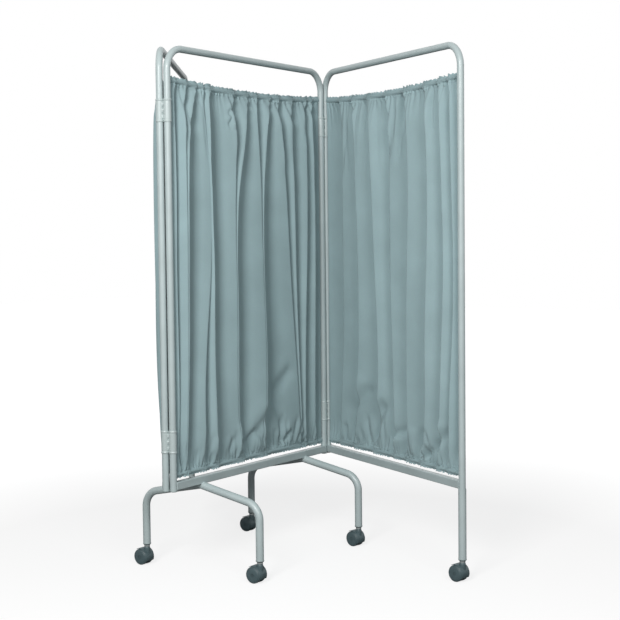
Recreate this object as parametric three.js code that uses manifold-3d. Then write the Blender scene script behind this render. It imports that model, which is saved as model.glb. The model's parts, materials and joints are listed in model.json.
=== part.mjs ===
// Ward privacy screen on wheels: a middle panel on two arched feet, a left wing folded
// back and a right wing folded forward, each with a gathered curtain on two sprung wires.
// Millimetres, +Z up, floor at zero, the middle panel along X with its front towards -Y.
import * as THREE from 'three';
import { mergeVertices } from 'three/addons/utils/BufferGeometryUtils.js';
import Module from 'manifold-3d';

const wasm = await Module();
wasm.setup();

// Whole screen
const overallHeight = 1700;
const panelWidth = 870;
const leftInteriorAngle = 33.5;
const rightInteriorAngle = 62;
const rightLinkHeading = -5.5;

// Clearances
const restGap = 0.3;
const partingGap = 0.4;
const overrun = 4;

// Panel frames
const frameTubeDiameter = 22.2;
const frameTubeWall = 1.5;
const frameBendRadius = 70;
const uprightOverhang = 1;
const spigotLength = 140;

// Lower rails
const railSize = 25;
const railWall = 1.5;
const railCentreHeight = 310;
const railEndSetback = 5;

// Arched feet and the wing's leg
const legTubeDiameter = 25.4;
const footBendRadius = 57;
const footHalfSpan = 234;
const footPlaceShare = 0.159;
const footPeakDrop = 4.5;
const footSlope = 11.3;
const legEndHeight = 75;

// Wire tabs welded to the uprights
const tabReach = 4;
const tabThickness = 3;
const tabEmbed = 0.8;
const tabOverWire = 12;
const topTabTail = 65;

// Curtain wires
const wireDiameter = 3;
const topWireDrop = 110;
const topWireSag = 18;
const bottomWireRise = 33;
const bottomWireSag = -4;

// Curtains
const curtainEdgeGap = 0.6;
const clothThickness = 3;
const casingThickness = 9;
const casingReach = 14;
const ruffleHeight = 13;
const hemHeight = 11;
const foldDepth = 60;
const billowDepth = 20;
const billowReachShare = 0.2;

// Tube end plugs
const plugFlangeThickness = 4.5;
const plugFlangeProud = 0.6;
const plugInsertLength = 18;
const plugChamfer = 1;

// Hinge links
const linkSpacing = 26;
const linkHeight = 72;
const lowerLinkRise = 141;
const upperLinkDrop = 207;
const linkWall = 0.9;
const linkRingHeight = 6;
const linkRingProud = 0.7;
const linkWebDepth = 2.4;
const knuckleDepth = 7.5;
const knuckleHeight = 14;
const knuckleCount = 3;
const knuckleInset = 0.2;
const rivetShankDiameter = 1.6;
const rivetHeadDiameter = 4.6;
const rivetHeadThickness = 1.2;

// Castors
const wheelDiameter = 55;
const wheelWidth = 15;
const wheelRimChamfer = 2.5;
const axleDiameter = 6;
const axleEndInset = 1.2;
const castorTrail = 17;
const castorTurns = { left_rear: -2, left_front: -1, right_rear: -2, right_front: -9, right_wing: -11 };
const castorWebThickness = 8;
const castorHubDiameter = 26;
const wheelSideGap = 0.8;
const hoodGap = 1;
const hoodWall = 1.6;
const hoodRearAngle = 62;
const hoodFrontAngle = 206;
const webRearAngle = 68;
const webFrontAngle = 194;
const castorNeckDiameter = 17;
const castorStemDiameter = 10;
const castorStemLength = 25;
const socketFlangeThickness = 6.5;
const socketFlangeProud = 0.5;
const socketInsertLength = 28;

// Facet counts
const frameSides = 12;
const frameBoreSides = 8;
const legSides = 12;
const roundSides = 12;
const wireSides = 6;
const wireSteps = 8;
const bendSteps = 6;
const linkArcSteps = 5;
const rivetSides = 6;
const wheelSides = 16;
const hoodSteps = 7;
const wheelRoomSides = 16;
const copeSides = 28;
const columnsPerFold = 3;
const weldTolerance = 1e-4;

// Sizes that follow from the ones above
const topWireHeight = overallHeight - topWireDrop;
const bottomWireHeight = railCentreHeight + bottomWireRise;
const linkHeights = { lower: railCentreHeight + lowerLinkRise, upper: overallHeight - upperLinkDrop };
const frameRadius = frameTubeDiameter / 2;
const frameBoreRadius = frameRadius - frameTubeWall;
const legRadius = legTubeDiameter / 2;
const legBoreRadius = holeRadius(frameRadius + restGap, roundSides);
const wireRadius = wireDiameter / 2;
const wheelRadius = wheelDiameter / 2;
const axleHeight = wheelRadius * Math.cos(Math.PI / wheelSides);
const railBottom = railCentreHeight - railSize / 2;
const railTop = railCentreHeight + railSize / 2;
const uprightBottom = railBottom - uprightOverhang;
const spigotBottom = railBottom - spigotLength;
const curtainStart = frameRadius + tabReach + curtainEdgeGap;
const wireStart = frameRadius + tabReach + restGap;
const wheelInner = castorWebThickness / 2 + wheelSideGap;
const wheelOuter = wheelInner + wheelWidth;

// Fold tables. Each row is one valley: its place near the top wire, half way down and near
// the bottom wire as shares of the curtain's width, and its depth as a share of foldDepth.
const middleFoldShares = [
  [0.050, 0.052, 0.045, 0.45],
  [0.112, 0.111, 0.101, 0.75],
  [0.160, 0.178, 0.197, 0.40],
  [0.223, 0.269, 0.268, 0.75],
  [0.300, 0.342, 0.335, 0.35],
  [0.415, 0.415, 0.412, 0.90],
  [0.480, 0.505, 0.520, 0.40],
  [0.568, 0.596, 0.636, 0.70],
  [0.657, 0.690, 0.704, 0.45],
  [0.735, 0.775, 0.773, 0.75],
  [0.800, 0.824, 0.846, 0.85],
  [0.850, 0.866, 0.892, 0.50],
  [0.900, 0.909, 0.941, 0.90],
  [0.960, 0.964, 0.975, 0.45],
];
const rightFoldShares = [
  [0.080, 0.083, 0.076, 0.45],
  [0.137, 0.151, 0.170, 0.40],
  [0.195, 0.242, 0.260, 0.45],
  [0.282, 0.300, 0.340, 0.30],
  [0.360, 0.360, 0.406, 0.80],
  [0.479, 0.475, 0.506, 0.40],
  [0.569, 0.575, 0.584, 0.50],
  [0.648, 0.660, 0.661, 0.35],
  [0.762, 0.747, 0.739, 1.00],
  [0.848, 0.856, 0.862, 0.45],
  [0.927, 0.922, 0.922, 0.60],
];
const leftFoldShares = [
  [0.075, 0.135, 0.100, 0.55],
  [0.150, 0.205, 0.190, 0.70],
  [0.235, 0.270, 0.260, 0.40],
  [0.325, 0.350, 0.355, 0.85],
  [0.410, 0.430, 0.450, 0.45],
  [0.500, 0.520, 0.515, 0.75],
  [0.590, 0.585, 0.600, 0.50],
  [0.680, 0.700, 0.690, 0.90],
  [0.765, 0.770, 0.785, 0.45],
  [0.850, 0.855, 0.865, 0.80],
  [0.930, 0.935, 0.940, 0.50],
];
// How far valleys and ridges stand off the panel's plane, as shares of the fold's depth.
const valleyShare = 0.30;
const ridgeShare = 0.40;
const edgeValleyShare = 0.40;
// Fold strength and cloth thickness along the height, from hem to ruffle.
const hemFoldShare = 0.30;
const casingFoldShare = 0.08;
const neckFoldShare = 0.50;
const lowFoldShare = 1.00;
const midFoldShare = 0.85;
const highFoldShare = 0.80;
const ruffleFoldShare = 0.22;
const lowRowShare = 0.16;
const midRowShare = 0.50;
const highRowShare = 0.84;

// Materials
const paint = finish(0xa5b4b6, 0.42, 0.15);
const cloth = finish(0x8ca3a6, 0.92, 0);
const springSteel = finish(0xb9bfc1, 0.35, 0.8);
const plugPlastic = finish(0xb9c3c4, 0.5, 0);
const zinc = finish(0xb4c0c0, 0.4, 0.3);
const darkPlastic = finish(0x4a5c60, 0.55, 0);
const axleSteel = finish(0x8f9698, 0.3, 0.9);

function finish(color, roughness, metalness) {
  return new THREE.MeshStandardMaterial({ color, roughness, metalness });
}

// The corner radius of a polygon that clears a round piece of the given radius.
function holeRadius(radius, sides) {
  return radius / Math.cos(Math.PI / sides);
}

// Solid helpers
function solidOf(geometry) {
  const bare = geometry.clone();
  bare.deleteAttribute('normal');
  bare.deleteAttribute('uv');
  const merged = mergeVertices(bare, weldTolerance);
  return new wasm.Manifold(new wasm.Mesh({
    numProp: 3,
    vertProperties: new Float32Array(merged.attributes.position.array),
    triVerts: new Uint32Array(merged.index.array),
  }));
}

function geometryOf(solid) {
  const mesh = solid.getMesh();
  const geometry = new THREE.BufferGeometry();
  geometry.setAttribute('position', new THREE.BufferAttribute(mesh.vertProperties, 3));
  geometry.setIndex(new THREE.BufferAttribute(mesh.triVerts, 1));
  geometry.computeVertexNormals();
  return geometry;
}

function named(name, geometry, material) {
  const mesh = new THREE.Mesh(geometry, material);
  mesh.name = name;
  return mesh;
}

function box(low, high) {
  const size = high.map((value, axis) => value - low[axis]);
  const geometry = new THREE.BoxGeometry(...size);
  return geometry.translate(...low.map((value, axis) => value + size[axis] / 2));
}

function uprightCylinder(radius, sides, low, high) {
  const geometry = new THREE.CylinderGeometry(radius, radius, high - low, sides);
  return geometry.rotateX(Math.PI / 2).translate(0, 0, (low + high) / 2);
}

// A path whose sections stand exactly at given stations, so straight runs stay one step long.
class StationPath extends THREE.Curve {
  constructor(stations) {
    super();
    this.stations = stations;
  }
  station(u) {
    return this.stations[Math.round(u * (this.stations.length - 1))];
  }
  getPointAt(u) {
    return this.station(u).point.clone();
  }
  getTangentAt(u) {
    return this.station(u).tangent.clone();
  }
}

// Stations along straight runs joined by round bends; a bend radius of zero gives a mitre.
function bentStations(corners, radii) {
  const stations = [];
  const directions = corners.slice(1).map((corner, i) => corner.clone().sub(corners[i]).normalize());
  stations.push({ point: corners[0], tangent: directions[0] });
  for (let i = 1; i < corners.length - 1; i += 1) {
    const before = directions[i - 1];
    const after = directions[i];
    const radius = radii[i - 1];
    if (radius === 0) {
      stations.push({ point: corners[i], tangent: before.clone().add(after).normalize() });
      continue;
    }
    const turn = before.angleTo(after);
    const start = corners[i].clone().addScaledVector(before, -radius * Math.tan(turn / 2));
    const inward = after.clone().addScaledVector(before, -Math.cos(turn)).normalize();
    for (let k = 0; k <= bendSteps; k += 1) {
      const angle = (turn * k) / bendSteps;
      const point = start.clone()
        .addScaledVector(before, radius * Math.sin(angle))
        .addScaledVector(inward, radius * (1 - Math.cos(angle)));
      const tangent = before.clone().multiplyScalar(Math.cos(angle))
        .addScaledVector(inward, Math.sin(angle));
      stations.push({ point, tangent });
    }
  }
  stations.push({ point: corners[corners.length - 1], tangent: directions[directions.length - 1] });
  return stations;
}

function polygonPath(PathClass, radius, sides) {
  const path = new PathClass();
  for (let i = 0; i < sides; i += 1) {
    const angle = (2 * Math.PI * (i + 0.5)) / sides;
    const x = radius * Math.cos(angle);
    const y = radius * Math.sin(angle);
    if (i === 0) path.moveTo(x, y);
    else path.lineTo(x, y);
  }
  path.closePath();
  return path;
}

function sweep(section, stations) {
  const extrudePath = new StationPath(stations);
  return new THREE.ExtrudeGeometry(section, { steps: stations.length - 1, extrudePath });
}

function tube(stations, radius, sides, boreRadius, boreSides) {
  const section = polygonPath(THREE.Shape, radius, sides);
  section.holes.push(polygonPath(THREE.Path, boreRadius, boreSides));
  return sweep(section, stations);
}

// An upside-down U of tube from the hinge-side upright at x = 0 to the outer one, with the
// tabs that hold the curtain wires.
function panelFrame(startBottom, endBottom) {
  const topAxis = overallHeight - frameRadius;
  const corners = [
    new THREE.Vector3(0, 0, startBottom),
    new THREE.Vector3(0, 0, topAxis),
    new THREE.Vector3(panelWidth, 0, topAxis),
    new THREE.Vector3(panelWidth, 0, endBottom),
  ];
  const stations = bentStations(corners, [frameBendRadius, frameBendRadius]);
  let solid = solidOf(tube(stations, frameRadius, frameSides, frameBoreRadius, frameBoreSides));
  const rootX = frameRadius * Math.cos(Math.PI / frameSides) - tabEmbed;
  const tipX = frameRadius + tabReach;
  const spans = [
    [railTop + restGap, bottomWireHeight + tabOverWire],
    [topWireHeight - tabOverWire, topWireHeight + topTabTail],
  ];
  for (const [low, high] of spans) {
    const half = tabThickness / 2;
    solid = solid.add(solidOf(box([rootX, -half, low], [tipX, half, high])));
    solid = solid.add(solidOf(box([panelWidth - tipX, -half, low], [panelWidth - rootX, half, high])));
  }
  return geometryOf(solid);
}

// The square lower rail, coped round both uprights and open at its ends.
function lowerRail() {
  const half = railSize / 2;
  const inner = half - railWall;
  const end = panelWidth - railEndSetback;
  const outside = box([railEndSetback, -half, railBottom], [end, half, railTop]);
  const inside = box(
    [-overrun, -inner, railBottom + railWall],
    [panelWidth + overrun, inner, railTop - railWall],
  );
  let solid = solidOf(outside).subtract(solidOf(inside));
  const copeRadius = holeRadius(frameRadius + restGap, copeSides);
  for (const x of [0, panelWidth]) {
    const cope = uprightCylinder(copeRadius, copeSides, railBottom - overrun, railTop + overrun);
    solid = solid.subtract(solidOf(cope.translate(x, 0, 0)));
  }
  return geometryOf(solid);
}

// One arched foot: a tube that rises from both castors to a mitre under the rail, where it is
// notched to take the rail's lower half.
function archedFoot() {
  const peak = railBottom - footPeakDrop;
  const drop = footHalfSpan * Math.tan(THREE.MathUtils.degToRad(footSlope));
  const corners = [
    new THREE.Vector3(0, footHalfSpan, legEndHeight),
    new THREE.Vector3(0, footHalfSpan, peak - drop),
    new THREE.Vector3(0, 0, peak),
    new THREE.Vector3(0, -footHalfSpan, peak - drop),
    new THREE.Vector3(0, -footHalfSpan, legEndHeight),
  ];
  const stations = bentStations(corners, [footBendRadius, 0, footBendRadius]);
  const solid = solidOf(tube(stations, legRadius, legSides, legBoreRadius, legSides));
  const half = railSize / 2 + restGap;
  const notch = box(
    [-legTubeDiameter, -half, railBottom - restGap],
    [legTubeDiameter, half, railTop],
  );
  return geometryOf(solid.subtract(solidOf(notch)));
}

// The right wing's leg: a straight tube slid over the spigot of its outer upright.
function wingLeg() {
  const stations = [legEndHeight, railBottom - restGap].map((z) => ({
    point: new THREE.Vector3(0, 0, z),
    tangent: new THREE.Vector3(0, 0, 1),
  }));
  return tube(stations, legRadius, roundSides, legBoreRadius, roundSides);
}

// Height of a curtain wire's axis at a share of the way between the uprights.
function wireHeight(endHeight, sag, share) {
  return endHeight - sag * (1 - (2 * share - 1) ** 2);
}

function wireStations(start, endHeight, sag) {
  const span = panelWidth - 2 * start;
  const points = [];
  for (let i = 0; i <= wireSteps; i += 1) {
    const x = start + (span * i) / wireSteps;
    points.push(new THREE.Vector3(x, 0, wireHeight(endHeight, sag, x / panelWidth)));
  }
  return points.map((point, i) => {
    const before = points[Math.max(i - 1, 0)];
    const after = points[Math.min(i + 1, wireSteps)];
    return { point, tangent: after.clone().sub(before).normalize() };
  });
}

function curtainWire(endHeight, sag) {
  return sweep(polygonPath(THREE.Shape, wireRadius, wireSides), wireStations(wireStart, endHeight, sag));
}

// A place in a fold table at a share of the height: rows hold bottom, middle and top places.
function placeAt(row, rise) {
  const [top, middle, bottom] = row;
  const t = Math.min(Math.max(rise, 0), 1);
  return t < 0.5
    ? bottom + (middle - bottom) * 2 * t
    : middle + (top - middle) * (2 * t - 1);
}

// The cloth's columns at one height: where each stands along the width, and how far off the
// panel's plane the full fold would carry it.
function foldColumns(foldShares, rise) {
  const start = [0, 0, 0, edgeValleyShare];
  const end = [1, 1, 1, edgeValleyShare];
  const valleys = [start, ...foldShares, end];
  const columns = [];
  for (let i = 0; i < valleys.length - 1; i += 1) {
    const left = placeAt(valleys[i], rise);
    const right = placeAt(valleys[i + 1], rise);
    const leftDepth = valleys[i][3];
    const rightDepth = valleys[i + 1][3];
    const last = i === valleys.length - 2;
    for (let k = 0; k < columnsPerFold + (last ? 1 : 0); k += 1) {
      const t = k / columnsPerFold;
      const lift = Math.sin(Math.PI * t) ** 2;
      const valley = valleyShare * (leftDepth + (rightDepth - leftDepth) * t);
      const ridge = -ridgeShare * (leftDepth + rightDepth) / 2;
      columns.push({ share: left + (right - left) * t, stand: valley + (ridge - valley) * lift });
    }
  }
  return columns;
}

// Rows of the cloth from hem to ruffle: height, fold strength and thickness.
function clothRows(share) {
  const low = wireHeight(bottomWireHeight, bottomWireSag, share);
  const high = wireHeight(topWireHeight, topWireSag, share);
  const from = low + casingReach;
  const span = high - casingReach - from;
  return [
    [low - hemHeight, hemFoldShare, clothThickness],
    [low, casingFoldShare, casingThickness],
    [from, neckFoldShare, clothThickness],
    [from + span * lowRowShare, lowFoldShare, clothThickness],
    [from + span * midRowShare, midFoldShare, clothThickness],
    [from + span * highRowShare, highFoldShare, clothThickness],
    [from + span, neckFoldShare, clothThickness],
    [high, casingFoldShare, casingThickness],
    [high + ruffleHeight, ruffleFoldShare, clothThickness],
  ];
}

// A gathered curtain as one closed solid with its main folds, bored through both casings for
// the wires. billow is how far the cloth near the hinge-side edge stands out to the rear.
function curtain(foldShares, billow) {
  const width = panelWidth - 2 * curtainStart;
  const rowCount = clothRows(0).length;
  const grid = [];
  for (let r = 0; r < rowCount; r += 1) {
    const rise = r / (rowCount - 1);
    grid.push(foldColumns(foldShares, rise).map(({ share, stand }) => {
      const [z, strength, thickness] = clothRows(share)[r];
      const reach = Math.min(share / billowReachShare, 1);
      const bulge = billow * Math.sin(Math.PI * rise) * Math.sin(Math.PI * reach);
      const loose = strength > neckFoldShare ? bulge : 0;
      const y = stand * foldDepth * strength + loose;
      return { x: curtainStart + width * share, y, z, half: thickness / 2 };
    }));
  }
  let solid = solidOf(slabGeometry(grid));
  const borePath = polygonPath(THREE.Shape, holeRadius(wireRadius + restGap, wireSides), wireSides);
  const boreStart = wireStart - overrun;
  for (const [height, sag] of [[bottomWireHeight, bottomWireSag], [topWireHeight, topWireSag]]) {
    solid = solid.subtract(solidOf(sweep(borePath, wireStations(boreStart, height, sag))));
  }
  return geometryOf(solid);
}

// A closed slab from a grid of {x, y, z, half} points, half being half its thickness in y.
function slabGeometry(grid) {
  const rows = grid.length;
  const columns = grid[0].length;
  const positions = [];
  for (const side of [-1, 1]) {
    for (const row of grid) {
      for (const { x, y, z, half } of row) positions.push(x, y + side * half, z);
    }
  }
  const front = (r, c) => r * columns + c;
  const back = (r, c) => rows * columns + r * columns + c;
  const index = [];
  const quad = (a, b, c, d) => index.push(a, b, c, a, c, d);
  for (let r = 0; r < rows - 1; r += 1) {
    for (let c = 0; c < columns - 1; c += 1) {
      quad(front(r, c), front(r, c + 1), front(r + 1, c + 1), front(r + 1, c));
      quad(back(r, c), back(r + 1, c), back(r + 1, c + 1), back(r, c + 1));
    }
    quad(front(r, 0), front(r + 1, 0), back(r + 1, 0), back(r, 0));
    quad(front(r, columns - 1), back(r, columns - 1), back(r + 1, columns - 1), front(r + 1, columns - 1));
  }
  for (let c = 0; c < columns - 1; c += 1) {
    quad(front(0, c), back(0, c), back(0, c + 1), front(0, c + 1));
    quad(front(rows - 1, c), front(rows - 1, c + 1), back(rows - 1, c + 1), back(rows - 1, c));
  }
  const geometry = new THREE.BufferGeometry();
  geometry.setAttribute('position', new THREE.Float32BufferAttribute(positions, 3));
  geometry.setIndex(index);
  geometry.computeVertexNormals();
  return geometry;
}

// A plug pushed into an upright's lower end, its flange just wider than the tube.
function endPlug(tubeBottom) {
  const insert = frameBoreRadius * Math.cos(Math.PI / frameBoreSides) - restGap;
  const flange = frameRadius + plugFlangeProud;
  const top = tubeBottom - restGap;
  const bottom = top - plugFlangeThickness;
  const profile = [
    [0, bottom],
    [flange - plugChamfer, bottom],
    [flange, bottom + plugChamfer],
    [flange, top],
    [insert, top],
    [insert, top + plugInsertLength],
    [0, top + plugInsertLength],
  ];
  return lathe(profile, roundSides);
}

// A turned solid about Z. The profile runs from bottom to top in radius and height.
function lathe(profile, sides) {
  const points = profile.map(([radius, height]) => new THREE.Vector2(radius, height));
  return new THREE.LatheGeometry(points, sides).rotateX(Math.PI / 2);
}

// Points of an arc, the end points included.
function arcPoints(centreX, centreY, radius, from, to, steps) {
  const points = [];
  for (let i = 0; i <= steps; i += 1) {
    const angle = from + ((to - from) * i) / steps;
    points.push([centreX + radius * Math.cos(angle), centreY + radius * Math.sin(angle)]);
  }
  return points;
}

function prism(points, low, high) {
  const shape = new THREE.Shape(points.map(([x, y]) => new THREE.Vector2(x, y)));
  const geometry = new THREE.ExtrudeGeometry(shape, { depth: high - low, bevelEnabled: false });
  return geometry.translate(0, 0, low);
}

// The section of half a hinge link: two arches of sheet round the two tubes and the web
// between them.
function linkSection(outerRadius, webDepth) {
  const inner = holeRadius(frameRadius + restGap, 2 * linkArcSteps);
  const base = partingGap / 2;
  const outerFoot = Math.asin(base / outerRadius);
  const innerFoot = Math.asin(base / inner);
  const outerWeb = Math.asin(webDepth / outerRadius);
  return [
    ...arcPoints(0, 0, outerRadius, Math.PI - outerFoot, outerWeb, linkArcSteps),
    ...arcPoints(linkSpacing, 0, outerRadius, Math.PI - outerWeb, outerFoot, linkArcSteps),
    ...arcPoints(linkSpacing, 0, inner, innerFoot, Math.PI - innerFoot, linkArcSteps),
    ...arcPoints(0, 0, inner, innerFoot, Math.PI - innerFoot, linkArcSteps),
  ];
}

// Half a hinge link with a bead at each end and knuckles along the web. The middle one is
// drilled for the rivet.
function linkShell() {
  const inner = holeRadius(frameRadius + restGap, 2 * linkArcSteps);
  const outer = inner + linkWall;
  const half = linkHeight / 2;
  let solid = solidOf(prism(linkSection(outer, linkWebDepth), -half, half));
  const bead = linkSection(outer + linkRingProud, linkWebDepth + linkRingProud);
  solid = solid.add(solidOf(prism(bead, -half, -half + linkRingHeight)));
  solid = solid.add(solidOf(prism(bead, half - linkRingHeight, half)));
  const clear = half - linkRingHeight;
  const pitch = (2 * clear) / knuckleCount;
  const shoulder = Math.sqrt(outer ** 2 - knuckleDepth ** 2);
  const knuckle = [
    [inner + knuckleInset, partingGap],
    [linkSpacing - inner - knuckleInset, partingGap],
    [linkSpacing - shoulder, knuckleDepth],
    [shoulder, knuckleDepth],
  ];
  for (let i = 0; i < knuckleCount; i += 1) {
    const centre = -clear + pitch * (i + 0.5);
    const block = prism(knuckle, centre - knuckleHeight / 2, centre + knuckleHeight / 2);
    solid = solid.add(solidOf(block));
  }
  const drillRadius = holeRadius(rivetShankDiameter / 2 + restGap, rivetSides);
  const drillLength = 2 * (knuckleDepth + overrun);
  const drill = new THREE.CylinderGeometry(drillRadius, drillRadius, drillLength, rivetSides);
  solid = solid.subtract(solidOf(drill.translate(linkSpacing / 2, 0, 0)));
  return geometryOf(solid);
}

function linkRivet() {
  const seat = knuckleDepth + restGap;
  const tip = seat + rivetHeadThickness;
  const head = rivetHeadDiameter / 2;
  const shank = rivetShankDiameter / 2;
  const profile = [
    [0, -tip],
    [head, -tip],
    [head, -seat],
    [shank, -seat],
    [shank, seat],
    [head, seat],
    [head, tip],
    [0, tip],
  ];
  return lathe(profile, rivetSides).rotateX(Math.PI / 2).translate(linkSpacing / 2, 0, 0);
}

// Both hinge links of one hinge line, at x = 0 on the middle panel's upright.
function hingeLine(side) {
  const line = new THREE.Group();
  for (const [level, height] of Object.entries(linkHeights)) {
    const link = new THREE.Group();
    link.position.z = height;
    const frontShell = linkShell().rotateZ(Math.PI).translate(linkSpacing, 0, 0);
    link.add(named(`${side}_${level}_hinge_front_shell`, frontShell, zinc));
    link.add(named(`${side}_${level}_hinge_rear_shell`, linkShell(), zinc));
    link.add(named(`${side}_${level}_hinge_rivet`, linkRivet(), zinc));
    line.add(link);
  }
  return line;
}

// Castor pieces, about the stem's axis with the wheels trailing towards +Y before the castor
// is turned on its stem. The hood covers the wheels from above down over their leading side.
function castorSocket() {
  const bore = holeRadius(castorStemDiameter / 2 + restGap, roundSides);
  const insert = legBoreRadius * Math.cos(Math.PI / legSides) - restGap;
  const flange = legRadius + socketFlangeProud;
  const top = legEndHeight - restGap;
  const bottom = top - socketFlangeThickness;
  const profile = [
    [bore, bottom],
    [flange, bottom],
    [flange, top],
    [insert, top],
    [insert, top + socketInsertLength],
    [bore, top + socketInsertLength],
    [bore, bottom],
  ];
  return lathe(profile, roundSides);
}

function sidePrism(points, half) {
  const geometry = prism(points, -half, half);
  return geometry.rotateZ(Math.PI / 2).rotateY(Math.PI / 2);
}

function castorBody() {
  const neckTop = legEndHeight - socketFlangeThickness - 2 * restGap;
  const hoodInner = wheelRadius + hoodGap;
  const hoodOuter = hoodInner + hoodWall;
  const from = THREE.MathUtils.degToRad(hoodRearAngle);
  const to = THREE.MathUtils.degToRad(hoodFrontAngle);
  const cap = [
    ...arcPoints(castorTrail, axleHeight, hoodOuter, from, to, hoodSteps),
    ...arcPoints(castorTrail, axleHeight, hoodInner, to, from, hoodSteps),
  ];
  const hub = castorHubDiameter / 2;
  const neckRadius = castorNeckDiameter / 2;
  const webReach = hoodInner + hoodWall / 2;
  const webFrom = THREE.MathUtils.degToRad(webRearAngle);
  const webTo = THREE.MathUtils.degToRad(webFrontAngle);
  const web = [
    ...arcPoints(castorTrail, axleHeight, hub, -Math.PI, 0, hoodSteps),
    ...arcPoints(castorTrail, axleHeight, webReach, webFrom, webTo, hoodSteps),
  ];
  let solid = solidOf(sidePrism(cap, wheelOuter));
  solid = solid.add(solidOf(sidePrism(web, castorWebThickness / 2)));
  const capTop = axleHeight + Math.sqrt(hoodInner ** 2 - (castorTrail + neckRadius) ** 2);
  solid = solid.add(solidOf(uprightCylinder(neckRadius, roundSides, capTop, neckTop)));
  const stemRadius = castorStemDiameter / 2;
  const stemTop = neckTop + castorStemLength;
  solid = solid.add(solidOf(uprightCylinder(stemRadius, roundSides, neckTop - overrun, stemTop)));
  const clearOfWheels = new THREE.CylinderGeometry(hoodInner, hoodInner, wheelWidth, wheelRoomSides);
  clearOfWheels.rotateZ(Math.PI / 2);
  for (const side of [-1, 1]) {
    const middle = side * (wheelInner + wheelWidth / 2);
    const room = clearOfWheels.clone().translate(middle, castorTrail, axleHeight);
    solid = solid.subtract(solidOf(room));
  }
  const holeSize = holeRadius(axleDiameter / 2 + restGap, roundSides);
  const holeLength = castorWebThickness + 2 * overrun;
  const axleHole = new THREE.CylinderGeometry(holeSize, holeSize, holeLength, roundSides);
  axleHole.rotateZ(Math.PI / 2).translate(0, castorTrail, axleHeight);
  return geometryOf(solid.subtract(solidOf(axleHole)));
}

function castorAxle() {
  const length = 2 * (wheelOuter - axleEndInset);
  const geometry = new THREE.CylinderGeometry(axleDiameter / 2, axleDiameter / 2, length, roundSides / 2);
  return geometry.rotateZ(Math.PI / 2).translate(0, castorTrail, axleHeight);
}

// A wheel turned about X, one facet flat on the floor.
function castorWheel(side) {
  const bore = holeRadius(axleDiameter / 2 + restGap, wheelSides);
  const profile = [
    [bore, wheelInner],
    [wheelRadius, wheelInner],
    [wheelRadius, wheelOuter - wheelRimChamfer],
    [wheelRadius - wheelRimChamfer, wheelOuter],
    [bore, wheelOuter],
    [bore, wheelInner],
  ];
  const geometry = lathe(profile, wheelSides);
  geometry.rotateZ(Math.PI / wheelSides).rotateY((side * Math.PI) / 2);
  return geometry.translate(0, castorTrail, axleHeight);
}

function castor(name) {
  const group = new THREE.Group();
  group.add(named(`${name}_socket`, castorSocket(), darkPlastic));
  group.add(named(`${name}_body`, castorBody(), darkPlastic));
  group.add(named(`${name}_axle`, castorAxle(), axleSteel));
  group.add(named(`${name}_left_wheel`, castorWheel(-1), darkPlastic));
  group.add(named(`${name}_right_wheel`, castorWheel(1), darkPlastic));
  return group;
}

// What every panel has: frame, rail, wires and curtain.
function panel(name, startBottom, endBottom, foldShares, billow) {
  const group = new THREE.Group();
  group.add(named(`${name}_frame`, panelFrame(startBottom, endBottom), paint));
  group.add(named(`${name}_rail`, lowerRail(), paint));
  group.add(named(`${name}_top_wire`, curtainWire(topWireHeight, topWireSag), springSteel));
  group.add(named(`${name}_bottom_wire`, curtainWire(bottomWireHeight, bottomWireSag), springSteel));
  group.add(named(`${name}_curtain`, curtain(foldShares, billow), cloth));
  return group;
}

function middlePanel() {
  const group = panel('middle', uprightBottom, uprightBottom, middleFoldShares, 0);
  group.position.x = -panelWidth / 2;
  group.add(named('middle_left_plug', endPlug(uprightBottom), plugPlastic));
  group.add(named('middle_right_plug', endPlug(uprightBottom).translate(panelWidth, 0, 0), plugPlastic));
  const places = { left: footPlaceShare * panelWidth, right: (1 - footPlaceShare) * panelWidth };
  for (const [side, x] of Object.entries(places)) {
    group.add(named(`${side}_foot`, archedFoot().translate(x, 0, 0), paint));
    for (const [end, y] of [['rear', footHalfSpan], ['front', -footHalfSpan]]) {
      const wheelSet = castor(`${side}_${end}_castor`);
      wheelSet.position.set(x, y, 0);
      wheelSet.rotation.z = THREE.MathUtils.degToRad(castorTurns[`${side}_${end}`]);
      group.add(wheelSet);
    }
  }
  return group;
}

// The left wing's outer upright ends in a bare, plugged spigot.
function leftWing() {
  const group = panel('left', uprightBottom, spigotBottom, leftFoldShares, billowDepth);
  group.add(named('left_hinge_side_plug', endPlug(uprightBottom), plugPlastic));
  group.add(named('left_spigot_plug', endPlug(spigotBottom).translate(panelWidth, 0, 0), plugPlastic));
  return group;
}

// The right wing's spigot carries a leg with a castor, which trails like the rest.
function rightWing(heading) {
  const group = panel('right', uprightBottom, spigotBottom, rightFoldShares, 0);
  group.add(named('right_hinge_side_plug', endPlug(uprightBottom), plugPlastic));
  group.add(named('right_leg', wingLeg().translate(panelWidth, 0, 0), paint));
  const wheelSet = castor('right_wing_castor');
  wheelSet.position.x = panelWidth;
  wheelSet.rotation.z = THREE.MathUtils.degToRad(castorTurns.right_wing) - heading;
  group.add(wheelSet);
  return group;
}

// A hinge line and the wing beyond it. The link turns on both uprights by itself.
function hingedWing(side, hingeX, linkHeading, wingHeading, wing) {
  const line = hingeLine(side);
  line.position.x = hingeX;
  line.rotation.z = linkHeading;
  wing.position.set(
    hingeX + linkSpacing * Math.cos(linkHeading),
    linkSpacing * Math.sin(linkHeading),
    0,
  );
  wing.rotation.z = wingHeading;
  return [line, wing];
}

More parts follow.
